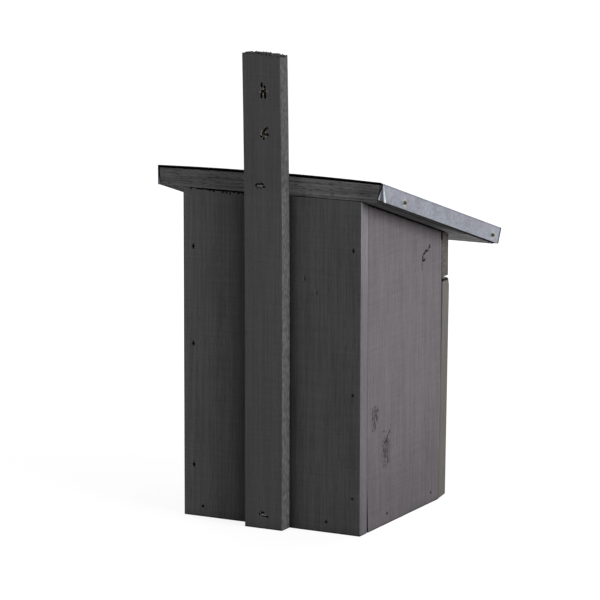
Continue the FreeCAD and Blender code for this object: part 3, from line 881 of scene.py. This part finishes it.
def make_rail():
    heads = nail_heads("front_rail_nails", Y, min)
    scars = nail_rings(heads)
    size = rail_high - rail_low
    stretches = fine_stretches(scars, rail_low, X, Z)
    stretches[Y] = [(size.y - grid_edge, size.y, finest_step)]
    lines = board_grid(size, (grid_along, grid_edge, grid_across), stretches)
    # painted shade in the joints where the rail's ends meet the sides
    for x in (rail_low.x, rail_high.x):
        seam_top = Vector((x, rail_high.y, under_roof(rail_high.y)))
        seam_foot = Vector((x, rail_high.y, rail_low.z))
        corner = seam_top - Vector((0.0, 0.0, 9.0 * MM))
        scars.append(scar([seam_foot, seam_top], reach=1.3, depth=0.15, tone=0.7))
        scars.append(scar([corner, seam_top], reach=2.8, depth=0.3, tone=1.3))

    def place(point):
        y = rail_low.y + point.y
        height = under_roof(y) - rail_gap - rail_low.z
        return Vector((rail_low.x + point.x, y, rail_low.z + height * point.z / size.z))

    ends = [(LEFT, 0.76, paint_beige), (RIGHT, 0.76, paint_beige)]
    look = {"tone": 1.05, "contrast": 2.0, "tint": paint_beige, "faces": ends, "pore": blunt_pores}
    mouth = Vector((0.0, -cut_margin, 0.0))
    end = Vector((0.0, hook_hole_depth, 0.0))
    hole = turned_cutter(hook_axis, [(mouth, hook_hole_radius), (end, hook_hole_radius)])
    make_board("front_top_rail", X, 6, lines, place, look, heads, scars, [hole])


# Batten


def batten_scars():
    """Torn wood round the two fixing holes, and the dents that the staples were driven into. The pits round the
    holes and the dents are dark with painted shade.
    """
    shreds = [
        [(-0.4, 443.2)], [(-3.5, 441.4)], [(4.2, 440.3)], [(0.7, 438.1)],
        [(2.1, 401.8), (3.1, 397.8), (1.7, 394.8)], [(-2.4, 396.8)], [(-2.3, 400.7)],
    ]
    pits = [
        [(2.4, 448.3), (2.6, 445.8)], [(-0.7, 445.2)], [(2.4, 440.7), (-1.0, 441.3)],
        [(2.7, 438.8), (2.7, 435.1)], [(-1.4, 442.2), (-1.3, 435.3)],
        [(-3.5, 405.0)], [(-1.4, 403.3), (1.1, 399.8)], [(1.2, 398.6), (-4.2, 398.5)],
        [(0.2, 394.3)], [(2.7, 396.2)],
    ]
    top_staple = [
        [(8.9, 347.2), (7.7, 348.7), (1.5, 349.1), (0.5, 348.3)], [(-1.0, 346.4), (0.6, 345.9)],
        [(5.5, 346.0)], [(8.5, 346.6)], [(7.4, 344.8)], [(3.6, 344.9)],
    ]
    bottom_staple = [
        [(5.2, 14.9), (4.6, 13.4)], [(2.0, 13.2), (1.2, 13.0)], [(-0.4, 13.0), (-4.4, 12.8)],
        [(-2.6, 12.6), (-4.4, 12.4)], [(2.8, 16.2), (-0.2, 16.4)],
    ]
    crowns = [[(7.4, 347.4), (1.2, 347.4)], [(3.6, 14.2), (-3.6, 14.2)]]
    scars = scars_on(on_batten, shreds, reach=1.4, depth=-0.3, tone=-0.85)
    # painted shade inside the pits and the staple dents
    scars += scars_on(on_batten, pits, reach=1.6, depth=3.4, tone=1.1)
    scars += scars_on(on_batten, crowns, reach=0.9, depth=1.0, tone=0.0)
    return scars + scars_on(on_batten, top_staple + bottom_staple, reach=1.1, depth=0.8, tone=1.2)


def batten_top(share):
    """Height of the batten's saw-cut top, from its left side to its right."""
    arch = batten_arch * (1.0 - (2.0 * share - 1.0) ** 2)
    return batten_height - batten_top_fall * (1.0 - share) + arch


def batten_shift(height):
    """How far the batten has bowed to the right at a height."""
    length = batten_height - batten_bow_start
    radius = (length**2 + batten_bow**2) / (2.0 * batten_bow)
    beyond = min(max(height - batten_bow_start, 0.0), radius)
    return radius - math.sqrt(radius**2 - beyond**2)


def dark_top():
    """Scars that cover the batten's top, whose open grain has soaked up more stain."""
    scars = []
    for depth in (1.6, 5.0, 8.5, 12.0, 15.0):
        line = []
        for share in (0.0, 0.25, 0.5, 0.75, 1.0):
            x = batten_low.x + batten_width * share + batten_bow
            line.append(Vector((x, batten_high.y - depth * MM, underside + batten_top(share))))
        scars.append(scar(line, reach=2.4, depth=0.1, tone=1.2))
    return scars


def make_hanging_batten():
    scars = batten_scars()
    size = Vector((batten_width, batten_high.y - batten_low.y, batten_height))
    stretches = fine_stretches(scars, Vector((batten_low.x, batten_low.y, underside)), X, Z)
    stretches[Z].append((size.z - splinter_reach - cut_margin, size.z, finest_step))
    lines = board_grid(size, (grid_across / 2, grid_edge, grid_along), stretches)

    def place(point):
        share = point.x / size.x
        near_top = smooth((point.z - size.z + splinter_reach) / splinter_reach)
        splintered = noise.noise(Vector((point.x, point.y / 3.0, 0.0)) / splinter_width)
        splinter = near_top * (splintered - 0.25) * splinter_height
        height = batten_top(share) * point.z / size.z + splinter
        x = batten_low.x + point.x + batten_shift(height)
        return Vector((x, batten_low.y + point.y, underside + height))

    ends = [(LEFT, 0.88, paint), (RIGHT, 0.8, paint)]
    look = {"tone": 0.9, "contrast": 0.7, "faces": ends, "light_shade_and_wear": batten_shade_and_blotches}
    look.update({"pore": pale_pores, "across": X})
    front = Vector((0.0, batten_low.y - cut_margin, 0.0))
    shreds_end = Vector((0.0, -shreds_depth, 0.0))
    bores = []
    for z in (-fixing_spacing / 2, fixing_spacing / 2):
        rings = [(front, fixing_radius), (shreds_end, fixing_radius)]
        bores.append(turned_cutter(Vector((0.0, 0.0, z)), rings))
    make_board("hanging_batten", Z, 7, lines, place, look, scars=scars + dark_top(), cutters=bores)


# Roof board


def make_roof_board():
    """The board under the zinc: its rear end is cut plumb and its top is slightly crowned."""
    top = roof_thickness + roof_crown
    front_end = (roof_corner.y - roof_low.y - top * math.sin(roof_pitch)) / math.cos(roof_pitch)
    size = Vector((roof_high.x - roof_low.x, front_end, roof_thickness))
    stretches = {Y: [(size.y - 2 * fold_setback_low, size.y, finest_step)]}
    lines = board_grid(size, (grid_along, 2 * grid_across, grid_across / 2), stretches)

    def left_end(y, above):
        """The board's left end, cut back at the rear corner where the zinc's tab lies against it."""
        drop = (zinc_top - above) / zinc_flap
        fold = roof_corner.y - zinc - mixed(fold_setback_top, fold_setback_low, drop)
        return max(roof_low.x, zinc_low.x + 2 * zinc + fold_slant * (y - fold))

    def place(point):
        across = 2.0 * point.x / size.x - 1.0
        above = point.z * (1.0 + roof_crown * (1.0 - across**2) / roof_thickness)
        along = mixed(front_end, -above * math.tan(roof_pitch), point.y / size.y)
        spot = on_roof(roof_high.x, along, above)
        spot.x = mixed(left_end(spot.y, above), roof_high.x, point.x / size.x)
        return spot

    look = {"tone": 1.22, "contrast": 3.0, "light_shade_and_wear": roof_light_and_shade, "pore": short_pores}
    make_board("roof_board", X, 8, lines, place, look)


# Door


def make_front_door():
    """The door leans out a little. It has a finger bevel, a sloping foot, the entrance, kerfs that young
    birds climb by, and mortises for the hinges."""
    turn = Matrix.Rotation(door_lean, 4, "X")
    lean = Matrix.Translation(hinge_axis) @ turn @ Matrix.Translation(-hinge_axis)
    size = Vector((back_high.x - back_low.x, board, door_top))
    stretches = {Z: [(door_top - bevel_height - 1.0 * MM, door_top, finest_step)]}
    lines = board_grid(size, (grid_across, grid_edge, grid_along), stretches)

    def burr(x, inward):
        """How far the torn saw cut stands above the door's top, most on its inner side."""
        torn = noise.noise(Vector((x, board * inward, 0.0)) / burr_width)
        return (burr_height + burr_ripple * torn) * smooth(3.2 * inward)

    def place(point):
        inward = point.y / size.y
        foot = mixed(door_foot_outer, door_foot_inner, inward)
        top = door_top + burr(point.x, inward)
        height = mixed(foot, top, point.z / size.z)
        bevel = bevel_depth * max(0.0, 1.0 - (door_top - height) / bevel_height)
        y = mixed(door_outer + bevel, door_inner, inward)
        return lean @ Vector((back_low.x + point.x, y, underside + height))

    # painted shade in the gap above the door's top corners
    crest_shade = []
    for x in (back_low.x, back_high.x):
        ends = [lean @ Vector((x, y, underside + door_top)) for y in (door_outer, door_inner)]
        crest_shade.append(scar(ends, reach=2.0, depth=0.0, tone=1.2))

    rim = entrance_radius + entrance_rim
    depths = [
        (door_outer - 2 * entrance_rim, rim + entrance_rim),
        (door_outer + entrance_rim, entrance_radius),
        (door_inner - entrance_rim, entrance_radius),
        (door_inner + 2 * entrance_rim, rim + entrance_rim),
    ]
    rings = [(Vector((0.0, depth, 0.0)), radius) for depth, radius in depths]
    cutters = [turned_cutter(Vector((0.0, 0.0, underside + entrance_height)), rings)]
    first_kerf = underside + entrance_height - entrance_radius - kerf_pitch
    for index in range(kerf_count):
        z = first_kerf - index * kerf_pitch
        low = (-kerf_length / 2, door_inner - kerf_depth, z)
        high = (kerf_length / 2, door_inner + cut_margin, z + kerf_width)
        cutters.append(block_cutter(low, high))
    for side in ("left", "right"):
        leaf_low, leaf_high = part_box("hinge_" + side + "_floor_leaf")
        low = (leaf_low.x - mortise_gap, door_outer - cut_margin, underside - cut_margin)
        high = (leaf_high.x + mortise_gap, door_inner + cut_margin, leaf_high.z + mortise_gap)
        cutters.append(block_cutter(low, high))
    for cutter in cutters:
        cutter.data.transform(lean)
    look = {"contrast": 0.8, "tint": paint_beige, "light_shade_and_wear": door_light_and_shade}
    make_board("front_door", Z, 4, lines, place, look, scars=crest_shade, cutters=cutters, body="door")


make_back_panel()
make_side_panel("left", left_low, left_high, corner_gap, 2, left_side_scars())
make_side_panel("right", right_low, right_high, 0.0, 3, [])
make_floor_board()
make_rail()
make_hanging_batten()
make_roof_board()
make_front_door()


# Metals

zinc_blue = (0.198, 0.217, 0.250, 1.0)
zinc_violet = (0.214, 0.213, 0.254, 1.0)
fold_highlight = (0.66, 0.74, 0.75, 1.0)
tack_dent_light = (0.31, 0.31, 0.275, 1.0)


nail_black = (0.004, 0.004, 0.004)
nail_worn = (0.012, 0.012, 0.012)
brass_dull = (0.060, 0.054, 0.034)
wire_grey = (0.12, 0.12, 0.12)
plated_steel = (0.55, 0.55, 0.56)

# Patterns in the metals, measured as those in the wood
metal_clouds_size = (3.0 * MM, 3.0 * MM)
wire_clouds_size = (1.5 * MM, 1.5 * MM)
zinc_spots_size = (4.0 * MM, 4.0 * MM)
zinc_bloom_size = (26.0 * MM, 26.0 * MM)
zinc_hues_size = (9.0 * MM, 9.0 * MM)
rolled_size = (3.0 * MM, 120.0 * MM)
grit_size = (1.6 * MM, 4.0 * MM)


def plain_metal(name, colour, roughness, mottle):
    """Metal with a cloudy tone and an uneven surface."""
    material, tree, shader = new_material(name)
    clouds = streaks(tree, object_point(tree), None, metal_clouds_size, 3.0)
    shade = ramp(tree, clouds, 0.3, 0.7, 1.0 - mottle, 1.0 + mottle)
    uneven = ramp(tree, clouds, 0.3, 0.7, roughness - 0.1, roughness + 0.1)
    set_surface(tree, shader, scale_colour(tree, colour, shade), uneven, metallic=1.0)
    add_bump(tree, shader, clouds, 0.3, 0.1 * MM)
    return material


def off_plane(tree, point, square):
    """How far a point lies along square from the plane through the roof's corner line."""
    along = vector_value(tree, "DOT_PRODUCT", point, square)
    return math_node(tree, "SUBTRACT", along, roof_corner.dot(square))


def weathered_zinc():
    """Zinc sheet gone dull: a bloom of large and small spots, and painted light and shade: a highlight on the fold
    at the left rear corner with shade in the wedge behind it, shade along the bends, inside and underneath, dark
    cut ends that are partly painted shade, a lighter front, and light round the nails that stands for their dents."""
    material, tree, shader = new_material("zinc_sheet")
    point = object_point(tree)
    x, y, z = [part_of(tree, point, axis) for axis in (X, Y, Z)]
    spots = streaks(tree, point, None, zinc_spots_size, 3.0)
    bloom = streaks(tree, point, None, zinc_bloom_size)
    rolled = streaks(tree, point, Y, rolled_size)
    grit = streaks(tree, point, Y, grit_size)
    shade = weighted(tree, [(spots, 0.30), (bloom, 0.30), (rolled, 0.06), (grit, 0.42)], 2.1, 1.0)

    along = off_plane(tree, point, on_roof(0.0, 1.0, 0.0) - roof_corner)
    above = off_plane(tree, point, on_roof(0.0, 0.0, 1.0) - roof_corner)
    front_end = (roof_corner.y - zinc_low.y - zinc_top * math.sin(roof_pitch)) / math.cos(roof_pitch)
    sideways = end_mask(tree, 0.6, 0.9)
    # painted shade along the bend at the top of the flaps
    under_bend = ramp(tree, above, zinc_top - 2.4 * MM, zinc_top - 0.9 * MM, 1.0, 0.62)
    on_top = ramp(tree, above, zinc_top - 0.7 * MM, zinc_top - 0.1 * MM)
    bend_line = math_node(tree, "MAXIMUM", under_bend, on_top)
    below_top = math_node(tree, "SUBTRACT", zinc_top, above)
    to_front = math_node(tree, "MULTIPLY_ADD", below_top, flap_lean / zinc_flap, along)
    # painted shade along the flaps' front edges
    at_front = ramp(tree, to_front, front_end - 4.6 * MM, front_end - 3.4 * MM)
    front_line = toned(tree, product(tree, at_front, sideways), 0.22)
    # painted light towards the front
    lit_front = ramp(tree, along, front_end - 120.0 * MM, front_end, 1.0, 1.1)

    # dark tab edges and cut ends: the zinc's dark cut edge with painted shade
    tab_low = zinc_top - zinc_flap + tab_height
    tab_across = ramp(tree, x, zinc_high.x - tab_width - soft_border, zinc_high.x - tab_width)
    tab_tone = ramp(tree, above, tab_low + soft_border, tab_low, 0.0, 0.42)
    on_tab = product(tree, tab_across, tab_tone)
    dark_end = ramp(tree, facing(tree, BACKWARD), 0.9, 0.98, 1.0, 0.12)
    cut_end = math_node(tree, "MAXIMUM", on_tab, dark_end)
    # painted shade on the inner and lower faces
    outward = product(tree, facing(tree, RIGHT), x)
    inside = ramp(tree, outward, zinc_low.x / 2, zinc_low.x / 4, 0.12, 1.0)
    below = ramp(tree, facing(tree, DOWN), 0.6, 0.8, 1.0, 0.12)
    shade = product(tree, shade, bend_line, front_line, lit_front, cut_end, inside, below)
    hues = ramp(tree, streaks(tree, point, None, zinc_hues_size), 0.38, 0.62)
    colour = scale_colour(tree, blend_colour(tree, hues, zinc_blue, zinc_violet), shade)

    # painted highlight on the fold, and painted shade in the wedge behind it
    drop = math_node(tree, "MULTIPLY_ADD", above, -1.0 / zinc_flap, zinc_top / zinc_flap)
    setback = fold_setback_low - fold_setback_top
    fold = math_node(tree, "MULTIPLY_ADD", drop, -setback, roof_corner.y - fold_setback_top)
    behind_fold = math_node(tree, "SUBTRACT", y, fold)
    off_fold = math_node(tree, "ABSOLUTE", behind_fold)
    half_line = math_node(tree, "MULTIPLY_ADD", drop, 1.2 * MM, 0.1 * MM)
    on_fold = ramp(tree, math_node(tree, "DIVIDE", off_fold, half_line), 1.2, 0.6)
    left_flap = ramp(tree, x, 0.9 * zinc_low.x, 0.95 * zinc_low.x)
    before_end = ramp(tree, y, roof_corner.y - 0.9 * MM, roof_corner.y - 2.2 * MM)
    in_wedge = product(tree, ramp(tree, behind_fold, 0.5 * MM, 1.5 * MM), before_end, left_flap)
    colour = scale_colour(tree, colour, toned(tree, in_wedge, 0.3))
    colour = blend_colour(tree, product(tree, on_fold, left_flap, sideways), colour, fold_highlight)
    # painted light round each tack, standing for its dent
    for tack in tack_places:
        spot = on_roof(0.0, tack, tack_height)
        beside = add_node(tree, "ShaderNodeCombineXYZ", {1: y, 2: z}).outputs[0]
        away = vector_value(tree, "DISTANCE", beside, spot)
        halo = product(tree, ramp(tree, away, 6.5 * MM, 2.5 * MM, 0.0, 0.8), sideways)
        colour = blend_colour(tree, halo, colour, tack_dent_light)

    roughness = ramp(tree, spots, 0.3, 0.7, 0.42, 0.58)
    set_surface(tree, shader, colour, roughness, metallic=1.0)
    add_bump(tree, shader, math_node(tree, "MULTIPLY_ADD", spots, 0.05, bloom), 0.5, 1.0 * MM)
    return material


def bent_wire(node):
    """A staple's wire: lighter along the middle of its crown, with painted shade towards where its legs go in."""
    low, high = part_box(node)
    material, tree, shader = new_material(node + "_wire")
    point = object_point(tree)
    clouds = streaks(tree, point, None, wire_clouds_size)
    off_middle = math_node(tree, "SUBTRACT", part_of(tree, point, X), (low.x + high.x) / 2)
    half = (high.x - low.x) / 2
    # painted shade towards the ends of the crown
    rubbed = ramp(tree, math_node(tree, "ABSOLUTE", off_middle), 0.45 * half, 0.8 * half, 1.0, 0.05)
    shade = product(tree, rubbed, ramp(tree, clouds, 0.3, 0.7, 0.75, 1.25))
    roughness = ramp(tree, clouds, 0.3, 0.7, 0.45, 0.65)
    set_surface(tree, shader, scale_colour(tree, wire_grey, shade), roughness, metallic=1.0)
    return material


hinge_material = plain_metal("hinge_steel", plated_steel, 0.35, 0.12)
slot_materials = {
    "painted_wood": painted_wood("spare_paint", Z, 9),
    "zinc_sheet": weathered_zinc(),
    "nail_steel": plain_metal("nail_steel", nail_black, 0.7, 0.3),
    "cladding_nail": plain_metal("tack_brass", brass_dull, 0.6, 0.3),
    "hinge_steel": hinge_material,
    "hook_steel": hinge_material,
}
node_materials = {
    "back_nails_left": plain_metal("worn_nail_steel", nail_worn, 0.6, 0.3),
    "batten_staple_top": bent_wire("batten_staple_top"),
    "batten_staple_bottom": bent_wire("batten_staple_bottom"),
}
for subpart in frame["record"]["subparts"]:
    node = subpart["node"]
    data = nodes[node].data
    data.materials.clear()
    data.materials.append(node_materials.get(node) or slot_materials[subpart["material_slot"]])


# Stage

white = (1.0, 1.0, 1.0, 1.0)
floor_grey = (0.15, 0.15, 0.15, 1.0)
floor_size = 6.0
dim_light = 0.12
lamp_target = Vector((0.0, -0.1, -0.2))
camera_place = Vector((-1.7035, 3.1642, 0.4824))
camera_target = Vector((-0.00097, -0.076, -0.1997))
camera_roll = math.radians(0.116)
camera_lens = 221.5
camera_sensor = 36.0


def seen_directly(tree):
    """1 for rays from the camera and for those seen in a reflection."""
    path = add_node(tree, "ShaderNodeLightPath")
    seen = math_node(tree, "MAXIMUM", path.outputs["Is Camera Ray"], path.outputs["Is Glossy Ray"])
    return math_node(tree, "MAXIMUM", seen, path.outputs["Is Transmission Ray"])


def make_floor():
    """A pale floor: white to the camera but for the object's soft shadow."""
    material, tree, shader = new_material("floor_white")
    tree.nodes.remove(shader)
    place = add_node(tree, "ShaderNodeTexCoord").outputs["Object"]
    away = vector_value(tree, "LENGTH", place)
    strength = ramp(tree, away, 0.5, 1.3, 0.88, 1.0)
    glow = add_node(tree, "ShaderNodeEmission", {"Color": white, "Strength": strength}).outputs[0]
    matt = add_node(tree, "ShaderNodeBsdfDiffuse", {"Color": floor_grey}).outputs[0]
    both = add_node(tree, "ShaderNodeAddShader", {0: glow, 1: matt}).outputs[0]
    mix = add_node(tree, "ShaderNodeMixShader", {0: seen_directly(tree), 1: matt, 2: both}).outputs[0]
    tree.links.new(mix, tree.nodes["Material Output"].inputs["Surface"])
    mesh = bmesh.new()
    bmesh.ops.create_grid(mesh, x_segments=8, y_segments=8, size=floor_size)
    floor = to_object("studio_floor", mesh, material)
    floor.location.z = underside


def make_world():
    world = bpy.data.worlds.new("studio_world")
    bpy.context.scene.world = world
    world.use_nodes = True
    tree = world.node_tree
    tree.nodes.clear()
    full = add_node(tree, "ShaderNodeBackground", {"Color": white, "Strength": 1.0}).outputs[0]
    dim = add_node(tree, "ShaderNodeBackground", {"Color": white, "Strength": dim_light}).outputs[0]
    mix = add_node(tree, "ShaderNodeMixShader", {0: seen_directly(tree), 1: dim, 2: full}).outputs[0]
    tree.links.new(mix, add_node(tree, "ShaderNodeOutputWorld").inputs["Surface"])


def make_softbox(name, place, size, power):
    """A square area light that faces the box."""
    light = bpy.data.lights.new(name, "AREA")
    light.shape = "SQUARE"
    light.size = size
    light.energy = power
    lamp = bpy.data.objects.new(name, light)
    bpy.context.scene.collection.objects.link(lamp)
    lamp.location = place
    towards_box = lamp_target - Vector(place)
    lamp.rotation_euler = towards_box.to_track_quat("-Z", "Y").to_euler()


def make_camera():
    """The photograph's view: a long lens behind the box, a little above it."""
    data = bpy.data.cameras.new("camera")
    data.sensor_width = camera_sensor
    data.lens = camera_lens
    camera = bpy.data.objects.new("camera", data)
    bpy.context.scene.collection.objects.link(camera)
    towards_box = camera_target - camera_place
    camera.location = camera_place
    camera.rotation_mode = "QUATERNION"
    roll = Quaternion((0.0, 0.0, 1.0), camera_roll)
    camera.rotation_quaternion = towards_box.to_track_quat("-Z", "Y") @ roll
    bpy.context.scene.camera = camera


make_floor()
make_world()
make_softbox("key_softbox", (-1.6, 0.2, 0.55), 1.0, 32.0)
make_softbox("rear_softbox", (1.0, 0.9, 0.6), 0.9, 4.5)
make_softbox("front_softbox", (-0.4, -2.1, 0.8), 2.6, 38.0)
make_softbox("right_softbox", (1.7, -0.9, 0.6), 1.2, 22.0)
make_camera()
bpy.context.scene.view_settings.view_transform = "Standard"
